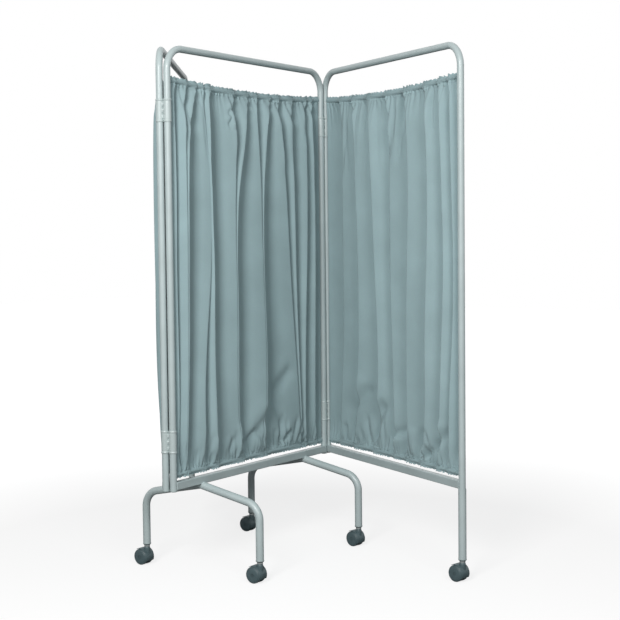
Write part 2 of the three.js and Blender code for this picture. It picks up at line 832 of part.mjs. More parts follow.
const leftHeading = THREE.MathUtils.degToRad(leftInteriorAngle);
const rightHeading = THREE.MathUtils.degToRad(rightInteriorAngle - 180);
const leftLink = (leftHeading + Math.PI) / 2;
const rightLink = THREE.MathUtils.degToRad(rightLinkHeading);
const screen = new THREE.Group();
screen.add(middlePanel());
screen.add(...hingedWing('left', -panelWidth / 2, leftLink, leftHeading, leftWing()));
screen.add(...hingedWing('right', panelWidth / 2, rightLink, rightHeading, rightWing(rightHeading)));

// The origin goes under the middle of the whole screen as it stands.
screen.updateMatrixWorld(true);
const extent = new THREE.Box3().setFromObject(screen, true);
const centre = extent.getCenter(new THREE.Vector3());
screen.position.set(-centre.x, -centre.y, -extent.min.z);
screen.updateMatrixWorld(true);

export default screen;
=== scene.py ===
import json
import random
from math import asin, cos, exp, pi, radians, sin, sqrt, tan

import bmesh
import bpy
import numpy as np
from mathutils import Matrix, Vector


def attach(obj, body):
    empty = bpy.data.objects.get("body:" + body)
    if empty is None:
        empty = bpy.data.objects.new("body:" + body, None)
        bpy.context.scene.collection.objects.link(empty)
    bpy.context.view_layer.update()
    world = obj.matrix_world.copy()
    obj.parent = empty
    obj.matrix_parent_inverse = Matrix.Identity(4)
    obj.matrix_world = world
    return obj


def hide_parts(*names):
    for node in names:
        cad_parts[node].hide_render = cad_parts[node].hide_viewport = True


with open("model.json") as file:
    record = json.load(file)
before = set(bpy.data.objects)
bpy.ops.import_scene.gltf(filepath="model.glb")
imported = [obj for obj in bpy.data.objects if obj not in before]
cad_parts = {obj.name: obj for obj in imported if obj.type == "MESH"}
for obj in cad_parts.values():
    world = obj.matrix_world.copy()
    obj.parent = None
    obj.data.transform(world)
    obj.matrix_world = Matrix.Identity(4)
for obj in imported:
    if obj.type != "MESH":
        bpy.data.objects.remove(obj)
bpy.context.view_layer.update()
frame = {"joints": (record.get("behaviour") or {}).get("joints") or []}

# Sizes of the solids that the pieces follow
PANEL_WIDTH = 0.870
TOP_AXIS = 1.6889
TUBE_RADIUS = 0.0111
TUBE_WALL = 0.0015
FRAME_BEND = 0.070
UPRIGHT_BOTTOM = 0.2965
SPIGOT_BOTTOM = 0.1575
RAIL_HALF = 0.0125
RAIL_WALL = 0.0015
RAIL_HEIGHT = 0.310
RAIL_SETBACK = 0.005
LEG_RADIUS = 0.0127
LEG_BORE = 0.0117
FOOT_BEND = 0.057
FOOT_REACH = 0.234
FOOT_SHARE = 0.159
FOOT_PEAK = 0.293
FOOT_SLOPE = radians(11.3)
LEG_END = 0.075
WIRE_RADIUS = 0.0015
TOP_WIRE = 1.590
TOP_SAG = 0.018
BOTTOM_WIRE = 0.343
BOTTOM_SAG = -0.004
WIRE_START = 0.0154
CLOTH_START = 0.0157
LINK_SPACING = 0.026
LINK_HALF = 0.036
LINK_HEIGHTS = {"lower": 0.451, "upper": 1.493}
WHEEL_RADIUS = 0.02697
AXLE_HEIGHT = 0.02697
CASTOR_TRAIL = 0.017
WHEEL_INNER = 0.0048
WHEEL_OUTER = 0.0198

# Facets
TUBE_SIDES = 40
BEND_STEPS = 20
LATHE_SIDES = 56
HOOD_STEPS = 40

joint_places = {joint["name"]: Vector(joint["pos_m"]) for joint in frame["joints"]}


def linked(name, data):
    obj = bpy.data.objects.new(name, data)
    bpy.context.scene.collection.objects.link(obj)
    return obj


# The camera, fitted to the photo's edges: its lens, its place beside the centre of the middle panel and
# above the floor, and its yaw, pitch and roll.
LENS = 78.111
CAMERA_PLACE = (-3.6995, -2.7138, 1.1016)
CAMERA_TURN = (0.98061, 0.05603, -0.01052)


def look(yaw, pitch, roll):
    forward = Vector((sin(yaw) * cos(pitch), cos(yaw) * cos(pitch), -sin(pitch)))
    level = Vector((cos(yaw), -sin(yaw), 0.0))
    upward = level.cross(forward)
    right = cos(roll) * level + sin(roll) * upward
    up = cos(roll) * upward - sin(roll) * level
    return Matrix((right, up, -forward)).transposed()


camera_data = bpy.data.cameras.new("camera")
camera_data.sensor_width = 36.0
camera_data.lens = LENS
camera = linked("camera", camera_data)
centre = joint_places["left_link_turn"] + Vector((PANEL_WIDTH / 2, 0.0, 0.0))
camera_at = (centre.x + CAMERA_PLACE[0], centre.y + CAMERA_PLACE[1], CAMERA_PLACE[2])
camera.matrix_world = Matrix.Translation(camera_at) @ look(*CAMERA_TURN).to_4x4()
bpy.context.scene.camera = camera


# Materials
def srgb(red, green, blue):
    def linear(value):
        value /= 255.0
        return value / 12.92 if value <= 0.04045 else ((value + 0.055) / 1.055) ** 2.4

    return (linear(red), linear(green), linear(blue), 1.0)


# Gives a node its settings: its own properties, constants for its inputs, or the sockets that feed them.
def set_up(tree, node, **settings):
    for key, value in settings.items():
        name = key.replace("_", " ")
        if isinstance(value, bpy.types.NodeSocket):
            tree.links.new(value, node.inputs[name])
        elif hasattr(node, key):
            setattr(node, key, value)
        else:
            node.inputs[name].default_value = value
    return node


def add_node(tree, kind, **settings):
    return set_up(tree, tree.nodes.new(kind), **settings)


def combined(tree, operation, first, second):
    node = add_node(tree, "ShaderNodeMath", operation=operation)
    tree.links.new(first, node.inputs[0])
    tree.links.new(second, node.inputs[1])
    return node.outputs[0]


def new_material(name, color, **inputs):
    material = bpy.data.materials.new(name)
    material.use_nodes = True
    tree = material.node_tree
    return material, tree, set_up(tree, tree.nodes["Principled BSDF"], Base_Color=color, **inputs)


def scaled(color, factor):
    return tuple(min(channel * factor, 1.0) for channel in color[:3]) + (1.0,)


# Clouds of a darker and a lighter shade of the colour.
def mottled(tree, place, shader, color, shades, scale, detail):
    cloud = add_node(tree, "ShaderNodeTexNoise", Scale=scale, Detail=detail, Vector=place)
    ramp = add_node(tree, "ShaderNodeValToRGB", Fac=cloud.outputs["Fac"])
    for stop, position, shade in zip(ramp.color_ramp.elements, (0.3, 0.7), shades):
        stop.position = position
        stop.color = scaled(color, shade)
    set_up(tree, shader, Base_Color=ramp.outputs["Color"])
    return cloud, ramp


# A material with cloudy colour, uneven roughness and a fine grain. The clouds are (scale, detail) and
# the grain is (scale, strength, distance).
def grained(name, color, shades, clouds, roughness, grain, stretch=None, **inputs):
    material, tree, shader = new_material(name, color, **inputs)
    place = add_node(tree, "ShaderNodeTexCoord").outputs["Object"]
    if stretch is not None:
        place = add_node(tree, "ShaderNodeMapping", Scale=stretch, Vector=place).outputs["Vector"]
    cloud, _ = mottled(tree, place, shader, color, shades, *clouds)
    low, high = roughness
    spread = add_node(tree, "ShaderNodeMapRange", To_Min=low, To_Max=high, Value=cloud.outputs["Fac"])
    scale, strength, distance = grain
    noise = add_node(tree, "ShaderNodeTexNoise", Scale=scale, Detail=2.0, Vector=place)
    bump = add_node(tree, "ShaderNodeBump", Strength=strength, Distance=distance, Height=noise.outputs["Fac"])
    set_up(tree, shader, Roughness=spread.outputs["Result"], Normal=bump.outputs["Normal"])
    return material


def coated_metal(name, color, low, high, grain):
    return grained(name, color, (0.95, 1.04), (14.0, 4.0), (low, high), (grain, 0.10, 0.0004),
                   Metallic=0.0, Coat_Weight=0.25, Coat_Roughness=0.22)


def moulded(name, color, roughness, grain, strength):
    return grained(name, color, (0.9, 1.08), (60.0, 3.0), (roughness - 0.06, roughness + 0.08),
                   (grain, strength, 0.0003), Roughness=roughness)


def bare_steel(name, color, roughness, stretch):
    return grained(name, color, (0.8, 1.1), (90.0, 4.0), (roughness - 0.08, roughness + 0.12),
                   (500.0, 0.15, 0.0002), stretch, Metallic=0.85, Roughness=roughness)


WEAVE_PITCH = 0.0009
WAVES_PER_UNIT = 20.0


# A plain weave with slubs, laid out along the cloth.
def woven(name, color):
    material, tree, shader = new_material(name, color, Roughness=0.88, Sheen_Weight=0.18, Sheen_Roughness=0.45,
                                          Specular_IOR_Level=0.22)
    flat = add_node(tree, "ShaderNodeUVMap", uv_map="cloth").outputs["UV"]
    place = add_node(tree, "ShaderNodeTexCoord").outputs["Object"]
    _, ramp = mottled(tree, place, shader, color, (0.95, 1.05), 9.0, 5.0)
    threads = [
        add_node(tree, "ShaderNodeTexWave", bands_direction=direction, Distortion=0.6, Detail=1.0,
                 Scale=1.0 / (WEAVE_PITCH * WAVES_PER_UNIT), Vector=flat).outputs["Fac"]
        for direction in ("X", "Y")
    ]
    slub = add_node(tree, "ShaderNodeTexNoise", Scale=260.0, Detail=3.0, Vector=flat)
    height = combined(tree, "ADD", combined(tree, "MULTIPLY", *threads), slub.outputs["Fac"])
    bump = add_node(tree, "ShaderNodeBump", Strength=0.16, Distance=0.0004, Height=height)
    tint = add_node(tree, "ShaderNodeMix", data_type="RGBA", blend_type="MULTIPLY", Factor=0.10,
                    A=ramp.outputs["Color"], B=slub.outputs["Color"])
    set_up(tree, shader, Normal=bump.outputs["Normal"], Base_Color=tint.outputs["Result"])
    return material


PAINT_COLOR = srgb(176, 190, 191)
LINK_COLOR = srgb(178, 191, 191)
CLOTH_COLOR = srgb(150, 174, 178)
PLASTIC_COLOR = srgb(74, 92, 96)
PLUG_COLOR = srgb(158, 172, 172)

paint = coated_metal("powder_coat", PAINT_COLOR, 0.34, 0.46, 900.0)
link_paint = coated_metal("hinge_coat", LINK_COLOR, 0.32, 0.48, 700.0)
weld_paint = coated_metal("weld_coat", PAINT_COLOR, 0.36, 0.50, 420.0)
dark_plastic = moulded("castor_plastic", PLASTIC_COLOR, 0.46, 1600.0, 0.18)
pale_plastic = moulded("plug_plastic", PLUG_COLOR, 0.42, 1300.0, 0.12)
wire_steel = bare_steel("spring_wire", srgb(196, 202, 203), 0.34, (1.0, 1.0, 1.0))
turned_steel = bare_steel("turned_steel", srgb(176, 182, 184), 0.30, (8.0, 1.0, 1.0))
ring_zinc = bare_steel("ring_zinc", srgb(196, 204, 204), 0.36, (1.0, 1.0, 6.0))
cloth_weave = woven("curtain_cloth", CLOTH_COLOR)
thread = moulded("curtain_thread", scaled(CLOTH_COLOR, 0.9), 0.8, 2600.0, 0.3)


# Meshes
def make(name, points, faces, body, slot, materials, matrix, nodes=(), sharp=35.0, face_slots=None):
    mesh = bpy.data.meshes.new(name)
    mesh.from_pydata([tuple(point) for point in points], [], faces)
    mesh.transform(matrix)
    mesh.update()
    obj = linked(name, mesh)
    for material in materials:
        mesh.materials.append(material)
    if face_slots is not None:
        mesh.polygons.foreach_set("material_index", face_slots)
    settle(obj, body, nodes, sharp)
    return obj


def settle(obj, body, nodes, sharp):
    mesh = obj.data
    mesh.polygons.foreach_set("use_smooth", [True] * len(mesh.polygons))
    mesh.set_sharp_from_angle(angle=radians(sharp))
    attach(obj, body)
    if nodes:
        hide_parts(*nodes)


def coated(name, part, body, matrix, *nodes):
    make(name, *part, body, "powder_coat", [paint], matrix, nodes)


def welded(name, part, body, matrix):
    make(name, *part, body, "powder_coat", [weld_paint], matrix, sharp=80.0)


def joined(*parts):
    points = []
    faces = []
    for some_points, some_faces in parts:
        start = len(points)
        points.extend(some_points)
        faces.extend([tuple(index + start for index in face) for face in some_faces])
    return points, faces


def moved(part, matrix):
    points, faces = part
    return [matrix @ Vector(point) for point in points], faces


def shift_x(distance):
    return Matrix.Translation((distance, 0.0, 0.0))


def circle(radius, sides):
    steps = [2.0 * pi * (i + 0.5) / sides for i in range(sides)]
    return [(radius * cos(angle), radius * sin(angle)) for angle in steps]


# A path is a list of (point, tangent, stretch); its bends all lie in the plane of normal.
def bent_path(corners, radii):
    headings = [(b - a).normalized() for a, b in zip(corners, corners[1:])]
    path = [(corners[0], headings[0], 1.0)]
    for corner, before, after, radius in zip(corners[1:-1], headings, headings[1:], radii):
        turn = before.angle(after)
        if radius == 0.0:
            path.append((corner, (before + after).normalized(), 1.0 / cos(turn / 2.0)))
            continue
        start = corner - before * radius * tan(turn / 2.0)
        inward = (after - before * cos(turn)).normalized()
        for k in range(BEND_STEPS + 1):
            angle = turn * k / BEND_STEPS
            point = start + before * radius * sin(angle) + inward * radius * (1.0 - cos(angle))
            path.append((point, before * cos(angle) + inward * sin(angle), 1.0))
    path.append((corners[-1], headings[-1], 1.0))
    return path


def rings_along(path, normal, section):
    rings = []
    for point, tangent, stretch in path:
        across = normal.cross(tangent).normalized() * stretch
        rings.append([point + normal * u + across * v for u, v in section])
    return rings


def bridged(rings, closed=False, flip=False):
    points = [point for ring in rings for point in ring]
    sides = len(rings[0])
    faces = []
    count = len(rings)
    for r in range(count if closed else count - 1):
        for c in range(sides):
            a = r * sides + c
            b = r * sides + (c + 1) % sides
            d = ((r + 1) % count) * sides + c
            e = ((r + 1) % count) * sides + (c + 1) % sides
            faces.append((a, d, e, b) if flip else (a, b, e, d))
    return points, faces


# Closes both ends of a bridged part. One that was bridged with flip is closed with flip too.
def capped(part, sides, flip=False):
    points, faces = part
    first = tuple(range(sides))
    last = tuple(range(len(points) - sides, len(points)))
    faces.append(first if flip else first[::-1])
    faces.append(last[::-1] if flip else last)
    return points, faces


def hollow_tube(path, normal, radius, bore):
    outer, inner = (rings_along(path, normal, circle(size, TUBE_SIDES)) for size in (radius, bore))
    return bridged(outer + inner[::-1], closed=True)


def solid_sweep(path, normal, section):
    return capped(bridged(rings_along(path, normal, section)), len(section))


def level_ring(radius, height, sides=LATHE_SIDES):
    angles = [2.0 * pi * k / sides for k in range(sides)]
    return [Vector((radius * cos(angle), radius * sin(angle), height)) for angle in angles]


# A turned solid about Z from an outline of (radius, height) pairs, listed from bottom to top on the
# outside; closed says that the outline runs back round a bore.
def turned(outline, sides=LATHE_SIDES, closed=False):
    part = bridged([level_ring(radius, height, sides) for radius, height in outline], closed=closed)
    return part if closed else capped(part, sides)


# Corner points replaced by short arcs, for a closed outline in a plane.
def rounded(outline, radius, steps=4):
    result = []
    for i, corner in enumerate(outline):
        corner = Vector(corner)
        before = Vector(outline[i - 1]) - corner
        after = Vector(outline[(i + 1) % len(outline)]) - corner
        reach = min(radius, before.length * 0.45, after.length * 0.45)
        start = corner + before.normalized() * reach
        end = corner + after.normalized() * reach
        for k in range(steps + 1):
            t = k / steps
            result.append(tuple((1 - t) ** 2 * start + 2 * t * (1 - t) * corner + t ** 2 * end))
    return result


# A plate with softened edges: outline in (u, v), extruded along w, as layers of scaled outlines.
def plate(outline, half, edge):
    count = len(outline)
    middle = Vector((sum(p[0] for p in outline) / count, sum(p[1] for p in outline) / count))
    rings = []
    for w, inset in ((-half, edge), (-half + edge, 0.0), (half - edge, 0.0), (half, edge)):
        ring = []
        for p in outline:
            away = Vector(p) - middle
            ring.append(Vector((p[0], p[1], w)) - (away.normalized() * inset).to_3d())
        rings.append(ring)
    return capped(bridged(rings), count)


def bare_object(name, part):
    mesh = bpy.data.meshes.new(name)
    mesh.from_pydata([tuple(point) for point in part[0]], [], part[1])
    shape = bmesh.new()
    shape.from_mesh(mesh)
    bmesh.ops.recalc_face_normals(shape, faces=shape.faces[:])
    shape.to_mesh(mesh)
    shape.free()
    return linked(name, mesh)


# Cuts the other object out of the first, and removes it.
def cut(obj, other):
    modifier = obj.modifiers.new("cut", "BOOLEAN")
    modifier.operation = "DIFFERENCE"
    modifier.solver = "EXACT"
    modifier.object = other
    depsgraph = bpy.context.evaluated_depsgraph_get()
    mesh = bpy.data.meshes.new_from_object(obj.evaluated_get(depsgraph))
    obj.modifiers.clear()
    old = obj.data
    obj.data = mesh
    bpy.data.meshes.remove(old)
    bpy.data.objects.remove(other)


def block(low, high):
    xs, ys, zs = zip(low, high)
    points = [Vector((x, y, z)) for z in zs for y in ys for x in xs]
    faces = [(0, 2, 3, 1), (4, 5, 7, 6), (0, 1, 5, 4), (2, 6, 7, 3), (0, 4, 6, 2), (1, 3, 7, 5)]
    return points, faces


# A weld bead along a loop or line of points: a small round seam with ripples.
WELD_RADIUS = 0.0011
BEAD_SIDES = 8


def bead(points, closed, seed):
    draw = random.Random(seed)
    rings = []
    count = len(points)
    for i, point in enumerate(points):
        before = points[(i - 1) % count] if closed or i else points[0]
        after = points[(i + 1) % count] if closed or i < count - 1 else points[-1]
        tangent = (after - before).normalized()
        side = tangent.orthogonal().normalized()
        other = tangent.cross(side)
        size = WELD_RADIUS * (1.0 + 0.16 * sin(i * 2.1) + draw.uniform(-0.08, 0.08))
        if not closed and i in (0, count - 1):
            size *= 0.4
        rings.append([point + side * size * u + other * size * v for u, v in circle(1.0, BEAD_SIDES)])
    # Rings are turned to face each other, so that the bead doesn't twist.
    for i in range(1, count):
        best = min(range(BEAD_SIDES), key=lambda k: (rings[i][k] - rings[i - 1][0]).length)
        rings[i] = rings[i][best:] + rings[i][:best]
    part = bridged(rings, closed=closed)
    return part if closed else capped(part, BEAD_SIDES)


AXIS_X = Vector((1.0, 0.0, 0.0))
AXIS_Y = Vector((0.0, 1.0, 0.0))
AXIS_Z = Vector((0.0, 0.0, 1.0))


# Panel frames
def frame_tube(far_bottom):
    corners = [(0.0, UPRIGHT_BOTTOM), (0.0, TOP_AXIS), (PANEL_WIDTH, TOP_AXIS), (PANEL_WIDTH, far_bottom)]
    path = bent_path([Vector((x, 0.0, z)) for x, z in corners], [FRAME_BEND, FRAME_BEND])
    return hollow_tube(path, AXIS_Y, TUBE_RADIUS, TUBE_RADIUS - TUBE_WALL)


TAB_SPANS = ((0.3228, 0.355), (1.578, 1.655))
TAB_REACH = 0.0151
TAB_ROOT = 0.0100
TAB_HALF = 0.0015


def frame_tabs():
    parts = []
    stand = Matrix(((1, 0, 0, 0), (0, 0, -1, 0), (0, 1, 0, 0), (0, 0, 0, 1)))
    turn = shift_x(PANEL_WIDTH) @ Matrix.Rotation(pi, 4, "Z")
    for low, high in TAB_SPANS:
        outline = [(TAB_ROOT, low), (TAB_REACH, low), (TAB_REACH, high), (TAB_ROOT, high)]
        near = moved(plate(rounded(outline, 0.002), TAB_HALF, 0.0004), stand)
        parts.extend([near, moved(near, turn)])
    return joined(*parts)


# The rail's section is a square with rounded corners, and its ends follow the upright's curve.
def square_section(half, corner, steps, splits):
    sides = []
    centre = half - corner
    for quarter in range(4):
        turn = quarter * pi / 2.0
        local = [(half, -centre + 2.0 * centre * k / splits) for k in range(splits)]
        local += [
            (centre + corner * cos(a), centre + corner * sin(a))
            for a in [pi / 2.0 * k / steps for k in range(steps)]
        ]
        for u, v in local:
            sides.append((u * cos(turn) - v * sin(turn), u * sin(turn) + v * cos(turn)))
    return sides


def rail_end(y, radius):
    inside = radius ** 2 - y ** 2
    return max(RAIL_SETBACK, sqrt(inside)) if inside > 0.0 else RAIL_SETBACK


def rail():
    outer = square_section(RAIL_HALF, 0.0022, 5, 14)
    inner = square_section(RAIL_HALF - RAIL_WALL, 0.0012, 5, 14)
    cope = TUBE_RADIUS + 0.0002
    rings = []
    for section, order in ((outer, (0, 1)), (inner, (1, 0))):
        for end in order:
            ring = []
            for y, z in section:
                x = rail_end(y, cope)
                ring.append(Vector((PANEL_WIDTH - x if end else x, y, RAIL_HEIGHT + z)))
            rings.append(ring)
    return bridged(rings, closed=True, flip=True)


def rail_welds():
    parts = []
    steps = 14
    sunk = 8
    limit = 0.0100
    for end in (0, 1):
        loop = []
        for level, order in ((1, range(steps + 1)), (-1, range(steps, -1, -1))):
            for k in order:
                y = -limit + 2.0 * limit * k / steps
                x = sqrt(TUBE_RADIUS ** 2 - y ** 2)
                loop.append(Vector((PANEL_WIDTH - x if end else x, y, RAIL_HEIGHT + level * RAIL_HALF)))
            side = loop[-1]
            for k in range(1, sunk):
                z = RAIL_HEIGHT + level * RAIL_HALF * (1.0 - 2.0 * k / sunk)
                loop.append(Vector((side.x, side.y + 0.0012 * level, z)))
        parts.append(bead(loop, True, 11 + end))
    return joined(*parts)


def end_plug(top):
    flange = TUBE_RADIUS + 0.0006
    bore = TUBE_RADIUS - TUBE_WALL
    return turned([(radius, top + offset) for radius, offset in (
        (0.0006, -0.0048), (flange - 0.0040, -0.0048), (flange - 0.0014, -0.0044), (flange - 0.0004, -0.0036),
        (flange, -0.0024), (flange, -0.0010), (flange - 0.0003, -0.0003), (flange - 0.0008, 0.0), (bore, 0.0),
        (bore, 0.0020), (bore - 0.0007, 0.0030), (bore - 0.0007, 0.0175), (bore - 0.0015, 0.0180),
        (0.0006, 0.0180),
    )])


# Curtain wires: smooth, round and a little slack, from tab to tab. share is the way along the panel.
def wire_height(end_height, sag, share):
    return end_height - sag * (1.0 - (2.0 * share - 1.0) ** 2)

def curtain_wire(end_height, sag):
    steps = 48
    places = [WIRE_START + (PANEL_WIDTH - 2.0 * WIRE_START) * k / steps for k in range(steps + 1)]
    points = [Vector((x, 0.0, wire_height(end_height, sag, x / PANEL_WIDTH))) for x in places]
    path = [
        (point, (points[min(k + 1, steps)] - points[max(k - 1, 0)]).normalized(), 1.0)
        for k, point in enumerate(points)
    ]
    return solid_sweep(path, AXIS_Y, circle(WIRE_RADIUS, 14))


# Feet and the wing's leg
def foot_tube():
    drop = FOOT_REACH * tan(FOOT_SLOPE)
    corners = [
        (FOOT_REACH, LEG_END), (FOOT_REACH, FOOT_PEAK - drop), (0.0, FOOT_PEAK),
        (-FOOT_REACH, FOOT_PEAK - drop), (-FOOT_REACH, LEG_END),
    ]
    path = bent_path([Vector((0.0, y, z)) for y, z in corners], [FOOT_BEND, 0.0, FOOT_BEND])
    return hollow_tube(path, AXIS_X, LEG_RADIUS, LEG_BORE)


def foot_welds():
    parts = []
    slope = tan(FOOT_SLOPE)
    for side in (-1, 1):
        y = side * (RAIL_HALF + 0.0003)
        centre = FOOT_PEAK - abs(y) * slope
        base = RAIL_HEIGHT - RAIL_HALF
        start = asin((base - centre) / LEG_RADIUS)
        arc = []
        for k in range(23):
            angle = start + (pi - 2.0 * start) * k / 22.0
            arc.append(Vector((LEG_RADIUS * cos(angle), y, centre + LEG_RADIUS * sin(angle))))
        parts.append(bead(arc, False, 31 + side))
    return joined(*parts)


# Hinge links: two half shells round a pair of uprights, with a bead at each end and knuckles between.
LINK_INNER = TUBE_RADIUS + 0.0004
LINK_WALL = 0.0009
LINK_ROWS = 72
KNUCKLE_HEIGHTS = (-0.0195, 0.0, 0.0195)
KNUCKLE_REACH = 0.0072


def link_outline(radius, web, steps=26):
    foot = asin(0.0002 / radius)
    crown = asin(web / radius)
    points = []
    for centre, start, end in ((0.0, pi - foot, crown), (LINK_SPACING, pi - crown, foot)):
        for k in range(steps + 1):
            angle = start + (end - start) * k / steps
            points.append((centre + radius * cos(angle), radius * sin(angle)))
    return points


def link_shell(side):
    rings = []
    for r in range(LINK_ROWS + 1):
        z = -LINK_HALF + 2.0 * LINK_HALF * r / LINK_ROWS
        from_end = LINK_HALF - abs(z)
        swell = 0.0011 * exp(-((from_end - 0.0032) / 0.0021) ** 2)
        swell -= 0.0003 * exp(-((from_end - 0.0078) / 0.0010) ** 2)
        outer = []
        for x, y in link_outline(LINK_INNER + LINK_WALL + swell, 0.0026):
            off = (x - LINK_SPACING / 2.0) / 0.0042
            rise = max(exp(-off ** 4 - ((z - height) / 0.0058) ** 6) for height in KNUCKLE_HEIGHTS)
            outer.append(Vector((x, max(y, y + (KNUCKLE_REACH - y) * rise * (y < KNUCKLE_REACH)), z)))
        # The inner face follows the tubes and crosses between them flat.
        inner = [Vector((x, y, z)) for x, y in link_outline(LINK_INNER, 0.0011)]
        rings.append(outer + inner[::-1])
    shell = capped(bridged(rings, flip=True), len(rings[0]), flip=True)
    if side == "rear":
        return shell
    return moved(shell, shift_x(LINK_SPACING) @ Matrix.Rotation(pi, 4, "Z"))


def link_rivet():
    seat = 0.0073
    outline = [
        (0.0003, -seat - 0.0011), (0.0012, -seat - 0.00105), (0.0019, -seat - 0.0007), (0.0022, -seat - 0.0001),
        (0.0022, -seat + 0.0001), (0.0008, -seat + 0.0001), (0.0008, seat - 0.0001), (0.0022, seat - 0.0001),
        (0.0022, seat + 0.0001), (0.0019, seat + 0.0007), (0.0012, seat + 0.00105), (0.0003, seat + 0.0011),
    ]
    place = shift_x(LINK_SPACING / 2.0) @ Matrix.Rotation(pi / 2.0, 4, "X")
    return moved(turned(outline, 24), place)


# Castors, about the stem's axis with the wheels trailing towards +Y
HOOD_REAR = 62.0
HOOD_FRONT = 206.0
HOOD_INNER = 0.0283
HOOD_OUTER = 0.0299
HOOD_TAPER = 0.05
NECK_BASE = 0.0286
AXLE_PLACE = Matrix.Translation((0.0, CASTOR_TRAIL, AXLE_HEIGHT))


def castor_socket():
    bore = 0.0053
    insert = LEG_BORE - 0.0006
    flange = LEG_RADIUS + 0.0007
    return turned([(radius, LEG_END + offset) for radius, offset in (
        (bore, -0.0066), (flange - 0.0036, -0.0066), (flange - 0.0018, -0.0060), (flange - 0.0006, -0.0046),
        (flange, -0.0034), (flange, -0.0012), (flange - 0.0003, -0.0004), (flange - 0.0010, 0.0),
        (insert, 0.0), (insert, 0.0270), (insert - 0.0010, 0.0280), (bore, 0.0280),
    )], closed=True)


# A prism along X from an outline in (y, z).
def side_prism(outline, half, edge):
    stand = Matrix(((0, 0, 1, 0), (1, 0, 0, 0), (0, 1, 0, 0), (0, 0, 0, 1)))
    return moved(plate(outline, half, edge), stand)


# An arc about the axle, in degrees from +Y.
def arc(radius, start, end, steps):
    angles = [radians(start + (end - start) * k / steps) for k in range(steps + 1)]
    return [(CASTOR_TRAIL + radius * cos(a), AXLE_HEIGHT + radius * sin(a)) for a in angles]


# The curved shield over the wheels, softened along both rims and thinned at its ends.
def hood_shell(half, edge):
    rings = []
    middle = (HOOD_INNER + HOOD_OUTER) / 2.0
    for k in range(HOOD_STEPS + 1):
        angle = radians(HOOD_REAR + (HOOD_FRONT - HOOD_REAR) * k / HOOD_STEPS)
        taper = min(k, HOOD_STEPS - k) / HOOD_STEPS
        thin = 1.0 if taper > HOOD_TAPER else 0.45 + 0.55 * sqrt(taper / HOOD_TAPER)
        low = middle + (HOOD_INNER - middle) * thin
        high = middle + (HOOD_OUTER - middle) * thin
        section = [
            (-half, low), (-half, high - edge), (-half + 0.3 * edge, high - 0.35 * edge), (-half + edge, high),
            (half - edge, high), (half - 0.3 * edge, high - 0.35 * edge), (half, high - edge), (half, low),
        ]
        rings.append([
            Vector((x, CASTOR_TRAIL + radius * cos(angle), AXLE_HEIGHT + radius * sin(angle)))
            for x, radius in section
        ])
    return capped(bridged(rings, flip=True), len(rings[0]), flip=True)


# The neck and stem grow out of the hood: the underside follows the hood's wall, clear of the wheels.
def castor_neck():
    rings = []
    for radius in (0.0003, 0.0025, 0.0050, 0.0075, 0.0092, 0.0105):
        ring = []
        for k in range(LATHE_SIDES):
            angle = 2.0 * pi * k / LATHE_SIDES
            y = radius * sin(angle)
            rise = sqrt(NECK_BASE ** 2 - (y - CASTOR_TRAIL) ** 2)
            ring.append(Vector((radius * cos(angle), y, AXLE_HEIGHT + rise)))
        rings.append(ring)
    for radius, height in (
        (0.0105, 0.0562), (0.0103, 0.0580), (0.0098, 0.0600), (0.0093, 0.0614), (0.0090, 0.0622),
        (0.0084, 0.0628), (0.0049, 0.0628), (0.0049, 0.0925), (0.0046, 0.0929), (0.0003, 0.0929),
    ):
        rings.append(level_ring(radius, height))
    return capped(bridged(rings), LATHE_SIDES)


def castor_body():
    web = arc(0.013, 180.0, 360.0, 16) + arc(0.0291, 66.0, 196.0, 24)
    return joined(hood_shell(WHEEL_OUTER, 0.0009), side_prism(web, 0.004, 0.0004), castor_neck())


def neck_ring():
    return turned([
        (0.0052, 0.0630), (0.0092, 0.0630), (0.0096, 0.0634), (0.0096, 0.0676), (0.0092, 0.0681),
        (0.0052, 0.0681),
    ], closed=True)


def axle():
    half = WHEEL_OUTER - 0.0012
    outline = [
        (0.0003, -half), (0.0024, -half), (0.0029, -half + 0.0006), (0.0029, half - 0.0006), (0.0024, half),
        (0.0003, half),
    ]
    return moved(turned(outline, 32), AXLE_PLACE @ Matrix.Rotation(pi / 2.0, 4, "Y"))


# A wheel from its inner face to the outer one: tread, rim, groove and flat cap, and then the plain
# cover that hides the axle's end. side is -1 for the left wheel and 1 for the right one.
def wheel(side):
    width = WHEEL_OUTER - WHEEL_INNER
    rim = turned([
        (0.0033, 0.0), (0.0255, 0.0), (0.0264, 0.0005), (WHEEL_RADIUS, 0.0016), (WHEEL_RADIUS, width - 0.0052),
        (0.0267, width - 0.0038), (0.0259, width - 0.0024), (0.0246, width - 0.0013), (0.0233, width - 0.0008),
        (0.0229, width - 0.0010), (0.0225, width - 0.0016), (0.0221, width - 0.0016), (0.0217, width - 0.0008),
        (0.0210, width - 0.0002), (0.0198, width), (0.0034, width), (0.0033, width - 0.0002),
    ], 64, closed=True)
    cover = turned([
        (0.0002, width - 0.0010), (0.0060, width - 0.0010), (0.0060, width - 0.0001), (0.0054, width),
        (0.0002, width),
    ], 32)
    turn = Matrix.Rotation(side * pi / 2.0, 4, "Y")
    place = AXLE_PLACE @ turn @ Matrix.Translation((0, 0, WHEEL_INNER))
    return joined(moved(rim, place), moved(cover, place))

